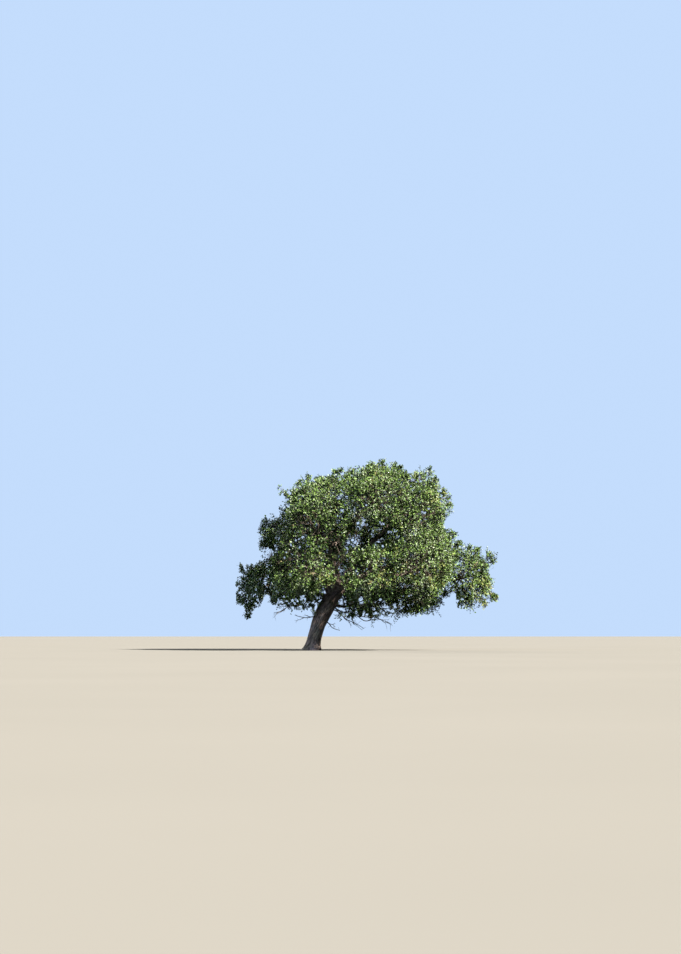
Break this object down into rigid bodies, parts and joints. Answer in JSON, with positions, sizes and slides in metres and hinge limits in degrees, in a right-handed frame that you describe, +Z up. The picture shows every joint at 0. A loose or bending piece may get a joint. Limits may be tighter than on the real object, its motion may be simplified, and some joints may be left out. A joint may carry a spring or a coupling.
{
  "type": "oak tree",
  "caption": "Open-grown oak with a leaning trunk, spreading boughs and a wide domed crown of separate leafy masses; fixed at the flat cut under its trunk.",
  "frame": {"origin": "middle of the flat cut under the trunk, at ground level", "axes": "+Z up; +X along the crown's width, the way the trunk leans; +Y away from the viewer"},
  "size_m": [11.3114, 8.8013, 8.4359],
  "materials": {
    "bark": "rough furrowed bark, dark grey-brown",
    "dead_wood": "bare weathered dead twigs, grey-brown",
    "leaves": "matt summer leaves, grey-green to olive"
  },
  "bodies": {
    "root": {"trunk": "bark", "top_left_bough": "bark", "top_right_bough": "bark", "right_arm_bough": "bark", "left_middle_bough": "bark", "front_middle_bough": "bark", "back_middle_bough": "bark", "left_low_bough": "bark", "middle_low_bough": "bark", "top_centre_bough": "bark", "shoulder_left_bough": "bark", "front_high_left_bough": "bark", "back_high_left_bough": "bark", "heart_bough": "bark", "centre_bough": "bark", "left_arm_bough": "bark", "left_tail_bough": "bark", "front_left_bough": "bark", "back_left_bough": "bark", "right_middle_bough": "bark", "right_low_bough": "bark", "front_right_bough": "bark", "back_right_bough": "bark", "right_shoulder_bough": "bark", "front_high_bough": "bark", "back_high_bough": "bark", "front_high_right_bough": "bark", "back_high_right_bough": "bark", "bare_left": "dead_wood", "bare_left_low": "dead_wood", "bare_right": "dead_wood", "bare_middle": "dead_wood", "bare_middle_low": "dead_wood", "top_left_foliage": "leaves", "top_right_foliage": "leaves", "right_arm_foliage": "leaves", "left_middle_foliage": "leaves", "front_middle_foliage": "leaves", "back_middle_foliage": "leaves", "left_low_foliage": "leaves", "middle_low_foliage": "leaves", "top_centre_foliage": "leaves", "shoulder_left_foliage": "leaves", "front_high_left_foliage": "leaves", "back_high_left_foliage": "leaves", "heart_foliage": "leaves", "centre_foliage": "leaves", "left_arm_foliage": "leaves", "left_tail_foliage": "leaves", "front_left_foliage": "leaves", "back_left_foliage": "leaves", "right_middle_foliage": "leaves", "right_low_foliage": "leaves", "front_right_foliage": "leaves", "back_right_foliage": "leaves", "right_shoulder_foliage": "leaves", "front_high_foliage": "leaves", "back_high_foliage": "leaves", "front_high_right_foliage": "leaves", "back_high_right_foliage": "leaves"}
  },
  "joints": []
}
